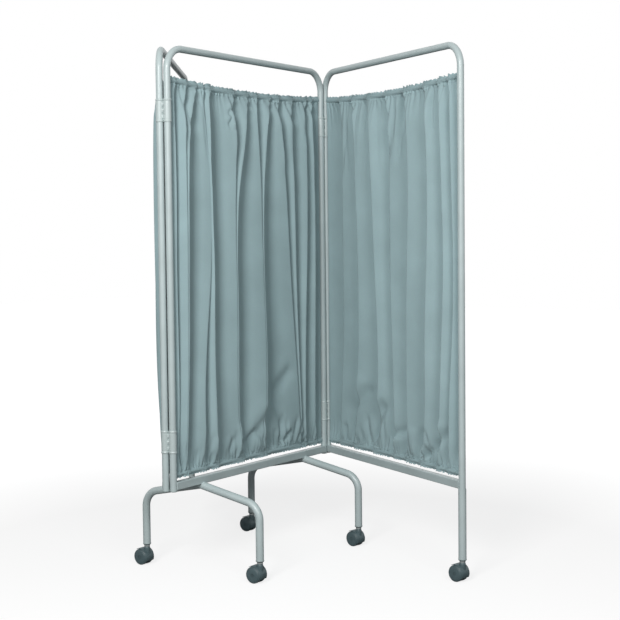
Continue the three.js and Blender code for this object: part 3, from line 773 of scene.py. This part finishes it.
# Fold tables: where each crest shows on the panel, in thousandths of the cloth's width at seven heights
# from the bottom wire to the top one, and how far it stands out, in hundredths of CREST_REACH. The
# middle and right ones follow the photo, and the left ones are invented.
FOLD_RISES = (0.0, 0.18, 0.35, 0.55, 0.75, 0.88, 1.0)
MIDDLE_FOLDS = (
    ((23, 28, 27, 26, 31, 30, 27), 30),
    ((64, 75, 87, 91, 93, 98, 98), 80),
    ((70, 79, 92, 97, 103, 120, 153), 80),
    ((183, 181, 206, 237, 243, 228, 196), 75),
    ((252, 255, 252, 254, 251, 246, 233), 100),
    ((416, 403, 399, 400, 404, 407, 394), 100),
    ((421, 409, 405, 405, 421, 463, 484), 100),
    ((568, 588, 589, 584, 577, 564, 547), 100),
    ((575, 593, 594, 590, 592, 619, 640), 100),
    ((841, 827, 806, 778, 752, 733, 700), 95),
    ((856, 843, 835, 821, 810, 805, 798), 95),
    ((878, 887, 896, 905, 910, 912, 906), 100),
    ((963, 966, 969, 969, 970, 962, 950), 90),
)
RIGHT_FOLDS = (
    ((97, 108, 121, 126, 126, 121, 115), 55),
    ((218, 239, 255, 253, 238, 228, 218), 90),
    ((376, 409, 405, 389, 370, 356, 343), 90),
    ((542, 528, 522, 516, 511, 502, 493), 55),
    ((633, 622, 629, 638, 646, 638, 629), 90),
    ((736, 767, 774, 780, 783, 778, 773), 100),
    ((849, 879, 886, 886, 880, 875, 870), 80),
    ((924, 940, 951, 953, 947, 942, 937), 55),
)
LEFT_FOLDS = (
    ((60, 70, 85, 90, 80, 70, 60), 60),
    ((150, 165, 185, 200, 190, 170, 150), 90),
    ((240, 250, 262, 270, 262, 248, 235), 55),
    ((345, 350, 352, 350, 342, 334, 325), 100),
    ((450, 445, 436, 430, 424, 418, 410), 60),
    ((515, 518, 521, 520, 514, 506, 500), 90),
    ((600, 596, 590, 585, 586, 588, 590), 60),
    ((690, 694, 698, 700, 696, 688, 680), 100),
    ((785, 780, 774, 770, 768, 766, 765), 55),
    ((865, 861, 857, 855, 853, 851, 850), 90),
    ((940, 938, 936, 935, 934, 932, 930), 50),
)
CREST_REACH = 0.028
FOLD_DEPTH = 0.056
STEEP_SHARE = 0.24
# The photo's view shows a crest aside of its real place by how far it stands out. These shifts, in
# metres for each metre and at the panel's two ends, put the middle and right crests back.
LEANS = {"middle": (-1.20, -1.52), "left": (0.0, 0.0), "right": (1.81, 1.45)}
FULLNESS = {"middle": 1.0, "left": 0.42, "right": 1.0}
CLOTH_WIDTH = PANEL_WIDTH - 2.0 * CLOTH_START
CASING_REACH = 0.014
RUFFLE = 0.013
HEM = 0.011
CREST_GAP = 0.0015
EDGE_ROOM = 0.004
COLUMN_PITCH = 0.0017
GATHER_PITCH = 0.0175
MAIN_ROWS = 100


def smooth(value):
    value = np.clip(value, 0.0, 1.0)
    return value * value * (3.0 - 2.0 * value)


# Heights along the cloth as (offset, share): a row stands at the bottom wire's height plus the
# offset plus the share of the way to the top wire.
def cloth_rows():
    rows = [(-HEM * (1.0 - k / 5.0), 0.0) for k in range(5)]
    rows += [(CASING_REACH * k / 7.0, 0.0) for k in range(7)]
    for k in range(MAIN_ROWS + 1):
        t = k / MAIN_ROWS
        share = 0.5 - 0.5 * cos(pi * t)
        share = 0.45 * share + 0.55 * t
        rows.append((CASING_REACH * (1.0 - 2.0 * share), share))
    rows += [(-CASING_REACH * (1.0 - k / 7.0), 1.0) for k in range(1, 8)]
    rows += [(RUFFLE * k / 6.0, 1.0) for k in range(1, 7)]
    return rows


# The crests' places at each row's height, smoothed over the rows around it.
def fold_places(folds, rise):
    lines = np.array([line for line, _ in folds]) / 1000.0
    places = np.array([np.interp(rise, FOLD_RISES, line) for line in lines]).T
    padded = np.pad(places, ((6, 6), (0, 0)), mode="edge")
    return sum(padded[k:k + len(rise)] for k in range(13)) / 13.0


# The folds: the crests stand out, with a long flank on one side and a steep one on the other, and
# narrow folds are shallow. The columns of the mesh run along the crests.
def folded(name, folds, rise, strength):
    reach = np.array([size for _, size in folds]) / 100.0 * CREST_REACH * FULLNESS[name]
    places = fold_places(folds, rise)
    lean = LEANS[name][0] + (LEANS[name][1] - LEANS[name][0]) * places
    standing = reach[None, :] * strength[:, None]
    crests = CLOTH_START + CLOTH_WIDTH * places + lean * standing
    step = CREST_GAP * np.arange(len(folds))
    crests = np.maximum.accumulate(crests - step, axis=1) + step
    crests = np.clip(crests, CLOTH_START + EDGE_ROOM + step, PANEL_WIDTH - CLOTH_START - EDGE_ROOM - step[::-1])
    ends = np.ones((len(rise), 1))
    crests = np.concatenate([ends * CLOTH_START, crests, ends * (PANEL_WIDTH - CLOTH_START)], axis=1)
    standing = np.concatenate([0.0 * ends, standing, 0.0 * ends], axis=1)
    mean = np.diff(crests, axis=1).mean(axis=0)
    counts = np.maximum(8, np.round(mean / COLUMN_PITCH)).astype(int)
    cell = np.concatenate([np.full(count, k) for k, count in enumerate(counts)] + [[len(counts) - 1]])
    t = np.concatenate([np.arange(count) / count for count in counts] + [[1.0]])[None, :]
    size = crests[:, cell + 1] - crests[:, cell]
    x = crests[:, cell] + size * t
    from_steep = 1.0 - t if name == "right" else t
    steep = smooth(from_steep / STEEP_SHARE)
    u = np.clip((from_steep - STEEP_SHARE) / (1.0 - STEEP_SHARE), 0.0, 1.0)
    hollow = np.where(from_steep < STEEP_SHARE, steep, 1.0 - 0.6 * u - 0.4 * np.sin(pi / 2.0 * u))
    deep = np.minimum(FOLD_DEPTH * FULLNESS[name] * strength[:, None], 0.95 * size)
    out = standing[:, cell] + (standing[:, cell + 1] - standing[:, cell]) * t - deep * hollow
    return x, soft(out)


# Rounds the crests and valleys a little.
def soft(values):
    padded = np.pad(values, ((0, 0), (2, 2)), mode="edge")
    count = values.shape[1]
    return sum(weight * padded[:, k:k + count] for k, weight in enumerate((0.1, 0.2, 0.4, 0.2, 0.1)))


# Gathers beside one wire and past it: their wave, how far they stand out, and the share that a row
# past the casing takes. past is the distance past the wire.
def gathers(phase, ripple, past, reach, fade, height):
    wave = 2.0 * np.sqrt(np.sin(phase / 2.0) ** 2 + 0.03) - 1.25 + ripple
    near = np.exp(-np.clip(-past - 0.010, 0, None) / fade) * smooth((-past - 0.004) / 0.008)
    beyond = smooth((past - 0.004) / reach)
    return wave, np.where(past > 0, 0.0044 * beyond, height * near), beyond


def cloth_surface(name, folds, seed, billow, tucks):
    rng = np.random.default_rng(seed)
    rows = np.array(cloth_rows())
    offsets, shares = rows[:, 0], rows[:, 1]
    span = TOP_WIRE - BOTTOM_WIRE
    climb = np.abs(offsets + shares * span)
    drop = np.abs(span - offsets - shares * span)
    strength = (1.0 - 0.98 * np.exp(-climb / 0.050)) * (1.0 - 0.98 * np.exp(-drop / 0.042))
    x, out = folded(name, folds, np.clip(shares, 0.0, 1.0), strength)
    y = -out
    share = (x - CLOTH_START) / CLOTH_WIDTH
    low = wire_height(BOTTOM_WIRE, BOTTOM_SAG, x / PANEL_WIDTH)
    high = wire_height(TOP_WIRE, TOP_SAG, x / PANEL_WIDTH)
    z = low + offsets[:, None] + (high - low) * shares[:, None]
    above = z - low
    below = high - z

    # Gathers at both casings and in the ruffle, which die out into the folds. Each one leans a
    # little, and the edge beyond the casing stands up in scallops.
    along = share * CLOTH_WIDTH
    phase = 2.0 * pi * along / GATHER_PITCH
    for scale, size in ((0.11, 1.7), (0.047, 1.0), (0.023, 0.5)):
        phase = phase + size * np.sin(2.0 * pi * along / scale + rng.uniform(0, 6.28))
    variation = 0.80 + 0.30 * np.sin(2.0 * pi * along / 0.19 + rng.uniform(0, 6.28))
    at_top = (shares > 0.5)[:, None]
    past = z - high
    ripple = 0.25 * np.sin(1.87 * phase + 0.8)
    wave, size, beyond = gathers(phase + 10.0 * past, ripple, past, RUFFLE, 0.030, 0.0052)
    y = y - wave * variation * size * at_top
    z = z + 0.0034 * wave * variation * beyond * at_top
    past = low - z
    ripple = 0.3 * np.sin(2.13 * phase)
    wave, size, beyond = gathers(phase * 1.35 + 1.3 + 12.0 * past, ripple, past, HEM, 0.026, 0.0048)
    y = y - wave * variation * size * ~at_top
    z = z - 0.0030 * wave * variation * beyond * ~at_top

    # Tucks and dents: grooves along short lines.
    for s0, z0, s1, z1, wide, deep in tucks:
        a = np.array([s0 * CLOTH_WIDTH, z0])
        run = np.array([s1 * CLOTH_WIDTH, z1]) - a
        length = float(np.hypot(*run))
        run = run / length
        du = (along - a[0]) * run[0] + (z - a[1]) * run[1]
        dv = (along - a[0]) * run[1] - (z - a[1]) * run[0]
        end = smooth(du / (0.25 * length) + 0.1) * smooth((length - du) / (0.35 * length) + 0.1)
        end = end * smooth((below - 0.006) / 0.012) * smooth((above - 0.006) / 0.012)
        lip = 0.45 * np.exp(-((dv - 1.6 * wide) / (1.5 * wide)) ** 2)
        y = y + deep * end * (np.exp(-(dv / wide) ** 2) - lip)

    # Slack: the cloth near one edge stands out, and slow waves break the straight lines.
    loose = smooth(above / 0.10) * smooth(below / 0.10)
    height_share = np.clip(above / (high - low), 0.0, 1.0)
    reach = np.clip(share / 0.2, 0.0, 1.0)
    y = y + billow * np.sin(pi * height_share ** 0.66) * np.sin(pi * reach) * loose
    for _ in range(7):
        kx, kz = rng.uniform(6.0, 26.0), rng.uniform(2.0, 9.0)
        size = rng.uniform(0.0006, 0.0016)
        y = y + size * loose * np.sin(kx * along + kz * z + rng.uniform(0, 6.28))
    edge = smooth(share / 0.02) * smooth((1.0 - share) / 0.02)
    x = np.clip(x, CLOTH_START, PANEL_WIDTH - CLOTH_START)
    y = y * (0.45 + 0.55 * edge)

    # Half the thickness: one layer of cloth, and the casings round the wires.
    thick = np.full_like(z, 0.0003)
    for distance in (z - low, z - high):
        thick = thick + 0.0034 * np.exp(-(distance / 0.0052) ** 4)
    thick = thick + 0.0004 * (z > high) + 0.0004 * (z < low)
    return np.stack([x, y, z], axis=-1), thick


def curtain_mesh(name, folds, seed, billow, tucks, matrix, body):
    surface, thick = cloth_surface(name, folds, seed, billow, tucks)
    rows, columns = thick.shape
    normal = np.cross(np.gradient(surface, axis=1), np.gradient(surface, axis=0))
    normal /= np.linalg.norm(normal, axis=-1, keepdims=True)
    # normal points to -Y, the front.
    out = normal * thick[..., None]
    points = np.concatenate([(surface + out).reshape(-1, 3), (surface - out).reshape(-1, 3)])
    shift = rows * columns
    a = (np.arange(rows - 1)[:, None] * columns + np.arange(columns - 1)).ravel()
    quads = np.stack([a, a + 1, a + columns + 1, a + columns], axis=1)
    faces = [tuple(quad) for quad in np.concatenate([quads, quads[:, ::-1] + shift]).tolist()]
    for k in range(columns - 1):
        faces.append((k, k + shift, k + 1 + shift, k + 1))
        top = (rows - 1) * columns + k
        faces.append((top, top + 1, top + 1 + shift, top + shift))
    for k in range(rows - 1):
        a = k * columns
        faces.append((a, a + columns, a + columns + shift, a + shift))
        a = k * columns + columns - 1
        faces.append((a, a + shift, a + columns + shift, a + columns))
    obj = make(f"{name}_cloth", points.tolist(), faces, body, "curtain_cloth", [cloth_weave], matrix,
               (f"{name}_curtain",), 70.0)
    mesh = obj.data
    layer = mesh.uv_layers.new(name="cloth")
    steps = np.linalg.norm(np.diff(surface, axis=1), axis=-1)
    lengths = np.concatenate([np.zeros((rows, 1)), np.cumsum(steps, axis=1)], axis=1)
    flat = np.stack([lengths, surface[..., 2]], axis=-1).reshape(-1, 2)
    flat = np.concatenate([flat, flat])
    corner = np.empty(len(mesh.loops), dtype=np.int64)
    mesh.loops.foreach_get("vertex_index", corner)
    layer.data.foreach_set("uv", flat[corner].ravel())
    return obj, surface, normal


# Stitches along the two seams that close the casings, on both faces of the cloth.
STITCH_LENGTH = 0.0030
STITCH_PITCH = 0.0042
STITCH_SHAPE = ((0.0001, 0.00018), (0.00035, 0.00032), (0.0001, 0.00018))


def at_step(place, steps, values):
    return Vector([float(np.interp(place, steps, values[:, k])) for k in range(3)])


def stitches(surface, normal, matrix, name, body):
    parts = []
    rows = cloth_rows()
    for target, wanted in ((CASING_REACH, 0.0), (-CASING_REACH, 1.0)):
        row = min(range(len(rows)), key=lambda k: abs(rows[k][0] - target) + abs(rows[k][1] - wanted))
        line = surface[row]
        out = normal[row]
        steps = np.concatenate([[0.0], np.cumsum(np.linalg.norm(np.diff(line, axis=0), axis=1))])
        place = 0.004
        while place + STITCH_LENGTH < steps[-1]:
            spots = [
                (at_step(spot, steps, line), at_step(spot, steps, out).normalized())
                for spot in (place, place + 0.0015, place + STITCH_LENGTH)
            ]
            tangent = (spots[2][0] - spots[0][0]).normalized()
            for face in (1.0, -1.0):
                rings = []
                for (point, away), (lift, size) in zip(spots, STITCH_SHAPE):
                    side = tangent.cross(away).normalized()
                    centre = point + away * face * (0.00045 + lift)
                    rings.append([centre + side * size * u + away * size * v for u, v in circle(1.0, 5)])
                parts.append(capped(bridged(rings), 5))
            place += STITCH_PITCH
    return make(name, *joined(*parts), body, "curtain_cloth", [thread], matrix)


TUCKS_PER_EDGE = 24
TUCK_WIDTHS = (0.005, 0.011)


# Small creases down from the top casing and up from the bottom one, as (share, height) to (share,
# height), width and depth.
def random_tucks(seed):
    draw = random.Random(seed)
    tucks = []
    for start, way, lengths, lean_reach, depths in (
        (1.575, -1.0, (0.06, 0.34), 0.035, (0.0030, 0.0085)),
        (0.352, 1.0, (0.04, 0.13), 0.03, (0.0025, 0.0070)),
    ):
        for _ in range(TUCKS_PER_EDGE):
            s = draw.uniform(0.03, 0.97)
            length = draw.uniform(*lengths)
            lean = draw.uniform(-lean_reach, lean_reach)
            wide = draw.uniform(*TUCK_WIDTHS)
            tucks.append((s, start, s + lean, start + way * length, wide, draw.uniform(*depths)))
    return tucks


# The creases and dents that follow the photo, in thousandths, as for random_tucks.
DENTS = {
    "middle": [
        (354, 1522, 327, 1505, 6, 6), (327, 1505, 346, 1489, 6, 6), (346, 1489, 326, 1465, 6, 6),
        (326, 1465, 358, 1447, 6, 5), (755, 640, 636, 540, 22, 9), (640, 552, 712, 400, 14, 6),
        (595, 520, 440, 372, 22, 9), (508, 446, 420, 360, 10, 6), (500, 440, 560, 372, 12, 8),
        (757, 410, 700, 368, 12, 12), (402, 480, 403, 362, 12, 14), (349, 430, 330, 370, 10, 8),
    ],
    "right": [
        (370, 575, 205, 455, 22, 14), (475, 540, 380, 352, 20, 24), (527, 420, 640, 440, 14, 12),
        (735, 460, 728, 352, 16, 14), (945, 480, 830, 392, 16, 14), (835, 405, 760, 362, 12, 10),
    ],
    "left": [],
}


def heading_matrix(place, degrees):
    return Matrix.Translation((place.x, place.y, 0.0)) @ Matrix.Rotation(radians(degrees), 4, "Z")


LEFT_HEADING = 33.5
RIGHT_HEADING = 62.0 - 180.0
LINK_HEADINGS = {"left": (LEFT_HEADING + 180.0) / 2.0, "right": -5.5}
CASTOR_TURNS = {
    "left_rear": -2.0, "left_front": -1.0, "right_rear": -2.0, "right_front": -9.0, "right_wing": -11.0,
}
# Each panel's name, body, joint and heading, the bottom of its far upright, and its cloth's folds, seed
# and billow
PANELS = (
    ("middle", "middle", "left_link_turn", 0.0, UPRIGHT_BOTTOM, MIDDLE_FOLDS, 5, 0.0),
    ("left", "left_wing", "left_wing_turn", LEFT_HEADING, SPIGOT_BOTTOM, LEFT_FOLDS, 8, 0.020),
    ("right", "right_wing", "right_wing_turn", RIGHT_HEADING, SPIGOT_BOTTOM, RIGHT_FOLDS, 13, 0.0),
)

panel_places = []
for name, body, joint, heading, far_bottom, folds, seed, billow in PANELS:
    matrix = heading_matrix(joint_places[joint], heading)
    panel_places.append(matrix)
    coated(f"{name}_frame_tube", frame_tube(far_bottom), body, matrix, f"{name}_frame")
    coated(f"{name}_frame_tabs", frame_tabs(), body, matrix)
    coated(f"{name}_rail_tube", rail(), body, matrix, f"{name}_rail")
    welded(f"{name}_rail_welds", rail_welds(), body, matrix)
    for level, height, sag in (("top", TOP_WIRE, TOP_SAG), ("bottom", BOTTOM_WIRE, BOTTOM_SAG)):
        make(f"{name}_{level}_spring", *curtain_wire(height, sag), body, "spring_wire", [wire_steel], matrix,
             (f"{name}_{level}_wire",))
    tucks = random_tucks(seed) + [[value / 1000.0 for value in dent] for dent in DENTS[name]]
    cloth, surface, normal = curtain_mesh(name, folds, seed, billow, tucks, matrix, body)
    seams = stitches(surface, normal, matrix, f"{name}_cloth_stitches", body)

across = shift_x(PANEL_WIDTH)
middle_matrix, left_matrix, right_matrix = panel_places
for end, body, matrix, bottom in (
    ("middle_left", "middle", middle_matrix, UPRIGHT_BOTTOM),
    ("middle_right", "middle", middle_matrix @ across, UPRIGHT_BOTTOM),
    ("left_hinge_side", "left_wing", left_matrix, UPRIGHT_BOTTOM),
    ("left_spigot", "left_wing", left_matrix @ across, SPIGOT_BOTTOM),
    ("right_hinge_side", "right_wing", right_matrix, UPRIGHT_BOTTOM),
):
    make(f"{end}_end_plug", *end_plug(bottom), body, "plug_plastic", [pale_plastic], matrix, (f"{end}_plug",))

NOTCH_ROOM = RAIL_HALF + 0.0002
for side, share in (("left", FOOT_SHARE), ("right", 1.0 - FOOT_SHARE)):
    place = middle_matrix @ shift_x(share * PANEL_WIDTH)
    foot = bare_object(f"{side}_foot_tube", foot_tube())
    notch = block((-0.03, -NOTCH_ROOM, RAIL_HEIGHT - RAIL_HALF - 0.0001), (0.03, NOTCH_ROOM, RAIL_HEIGHT))
    cut(foot, bare_object("notch", notch))
    foot.data.materials.append(paint)
    foot.data.transform(place)
    settle(foot, "middle", (f"{side}_foot",), 35.0)
    welded(f"{side}_foot_welds", foot_welds(), "middle", place)

leg_path = [(Vector((0.0, 0.0, z)), AXIS_Z, 1.0) for z in (LEG_END, RAIL_HEIGHT - RAIL_HALF - 0.0003)]
leg = hollow_tube(leg_path, AXIS_X, LEG_RADIUS, LEG_BORE)
coated("right_leg_tube", leg, "right_wing", right_matrix @ across, "right_leg")

for side, heading in LINK_HEADINGS.items():
    line = heading_matrix(joint_places[f"{side}_link_turn"], heading)
    for level, height in LINK_HEIGHTS.items():
        place = line @ Matrix.Translation((0.0, 0.0, height))
        for half in ("front", "rear"):
            make(f"{side}_{level}_link_{half}", *link_shell(half), f"{side}_hinges", "hinge_zinc", [link_paint],
                 place, (f"{side}_{level}_hinge_{half}_shell",), 50.0)
        make(f"{side}_{level}_link_rivet", *link_rivet(), f"{side}_hinges", "hinge_zinc", [ring_zinc], place,
             (f"{side}_{level}_hinge_rivet",))

# The first bands of a socket's faces, its underside, are painted dark on the pale socket as painted shade.
SHADE_BANDS = 4
for corner, turn in CASTOR_TURNS.items():
    castor = f"{corner}_castor"
    place = heading_matrix(joint_places[f"{castor}_swivel_turn"], turn)
    holder = "right_wing" if corner == "right_wing" else "middle"
    swivel = f"{castor}_swivel"
    socket = castor_socket()
    # the underside faces take the dark plastic as painted shade
    shades = [0 if face // LATHE_SIDES < SHADE_BANDS else 1 for face in range(len(socket[1]))]
    make(f"{castor}_cup", *socket, holder, "castor_plastic", [dark_plastic, pale_plastic], place,
         (f"{castor}_socket",), face_slots=shades)
    make(f"{castor}_hood", *castor_body(), swivel, "castor_plastic", [dark_plastic], place, (f"{castor}_body",),
         40.0)
    make(f"{castor}_neck_ring", *neck_ring(), swivel, "axle_steel", [ring_zinc], place)
    make(f"{castor}_pin", *axle(), swivel, "axle_steel", [turned_steel], place, (f"{castor}_axle",))
    for side, sign in (("left", -1), ("right", 1)):
        spun = f"{castor}_{side}_wheel"
        make(f"{castor}_{side}_disc", *wheel(sign), spun, "castor_plastic", [dark_plastic], place, (spun,),
             40.0)

# Floor, light and background. The floor's glow rises from FLOOR_GLOW at the first distance to the
# background's white at the second.
FLOOR_REACH = 14.0
FLOOR_GREY = (0.25, 0.25, 0.25, 1.0)
FLOOR_GLOW = 0.795
GLOW_FROM, GLOW_TO = 1.2, 2.6
WORLD_COLOR = (0.96, 0.98, 1.0, 1.0)
WORLD_LEVEL = 0.20
LAMP_COLOR = (1.0, 0.99, 0.98)
LAMP_SIZE = 1.2
LAMP_TARGET = Vector((0.0, 0.0, 0.9))
# Both lamps stand on the camera's side, so that the folds show as in the photo, and the back is dark.
LAMPS = {"key": ((-3.82, -1.20, 2.6), 132.0), "fill": ((-2.40, -3.20, 2.6), 48.0)}


def stage_floor():
    mesh = bpy.data.meshes.new("floor")
    corners = [(x * FLOOR_REACH, y * FLOOR_REACH, 0) for x, y in ((-1, -1), (1, -1), (1, 1), (-1, 1))]
    mesh.from_pydata(corners, [], [(0, 1, 2, 3)])
    floor = linked("floor", mesh)
    material = bpy.data.materials.new("floor")
    material.use_nodes = True
    tree = material.node_tree
    tree.nodes.clear()
    distance = add_node(tree, "ShaderNodeVectorMath", operation="LENGTH")
    tree.links.new(add_node(tree, "ShaderNodeTexCoord").outputs["Object"], distance.inputs[0])
    rising = add_node(tree, "ShaderNodeMapRange", From_Min=GLOW_FROM, From_Max=GLOW_TO, To_Min=FLOOR_GLOW,
                      To_Max=1.0, Value=distance.outputs["Value"])
    seen = tree.nodes.new("ShaderNodeLightPath").outputs["Is Camera Ray"]
    level = combined(tree, "MULTIPLY", seen, rising.outputs["Result"])
    glow = add_node(tree, "ShaderNodeEmission", Strength=level)
    diffuse = add_node(tree, "ShaderNodeBsdfDiffuse", Color=FLOOR_GREY)
    both = tree.nodes.new("ShaderNodeAddShader")
    tree.links.new(diffuse.outputs[0], both.inputs[0])
    tree.links.new(glow.outputs[0], both.inputs[1])
    add_node(tree, "ShaderNodeOutputMaterial", Surface=both.outputs[0])
    mesh.materials.append(material)


def stage_world():
    world = bpy.data.worlds.new("world")
    bpy.context.scene.world = world
    world.use_nodes = True
    tree = world.node_tree
    tree.nodes.clear()
    light = add_node(tree, "ShaderNodeBackground", Color=WORLD_COLOR, Strength=WORLD_LEVEL)
    white = add_node(tree, "ShaderNodeBackground", Color=(1.0, 1.0, 1.0, 1.0), Strength=1.0)
    path = tree.nodes.new("ShaderNodeLightPath")
    seen = combined(tree, "MAXIMUM", path.outputs["Is Camera Ray"], path.outputs["Is Glossy Ray"])
    mix = tree.nodes.new("ShaderNodeMixShader")
    for socket, source in enumerate((seen, light.outputs[0], white.outputs[0])):
        tree.links.new(source, mix.inputs[socket])
    add_node(tree, "ShaderNodeOutputWorld", Surface=mix.outputs[0])


def area_light(name, place, power):
    data = bpy.data.lights.new(name, "AREA")
    data.shape = "RECTANGLE"
    data.size = data.size_y = LAMP_SIZE
    data.energy = power
    data.color = LAMP_COLOR
    lamp = linked(name, data)
    lamp.location = place
    lamp.rotation_euler = (LAMP_TARGET - Vector(place)).to_track_quat("-Z", "Y").to_euler()


stage_floor()
stage_world()
for name, (place, power) in LAMPS.items():
    area_light(name, place, power)

bpy.context.scene.view_settings.view_transform = "Standard"
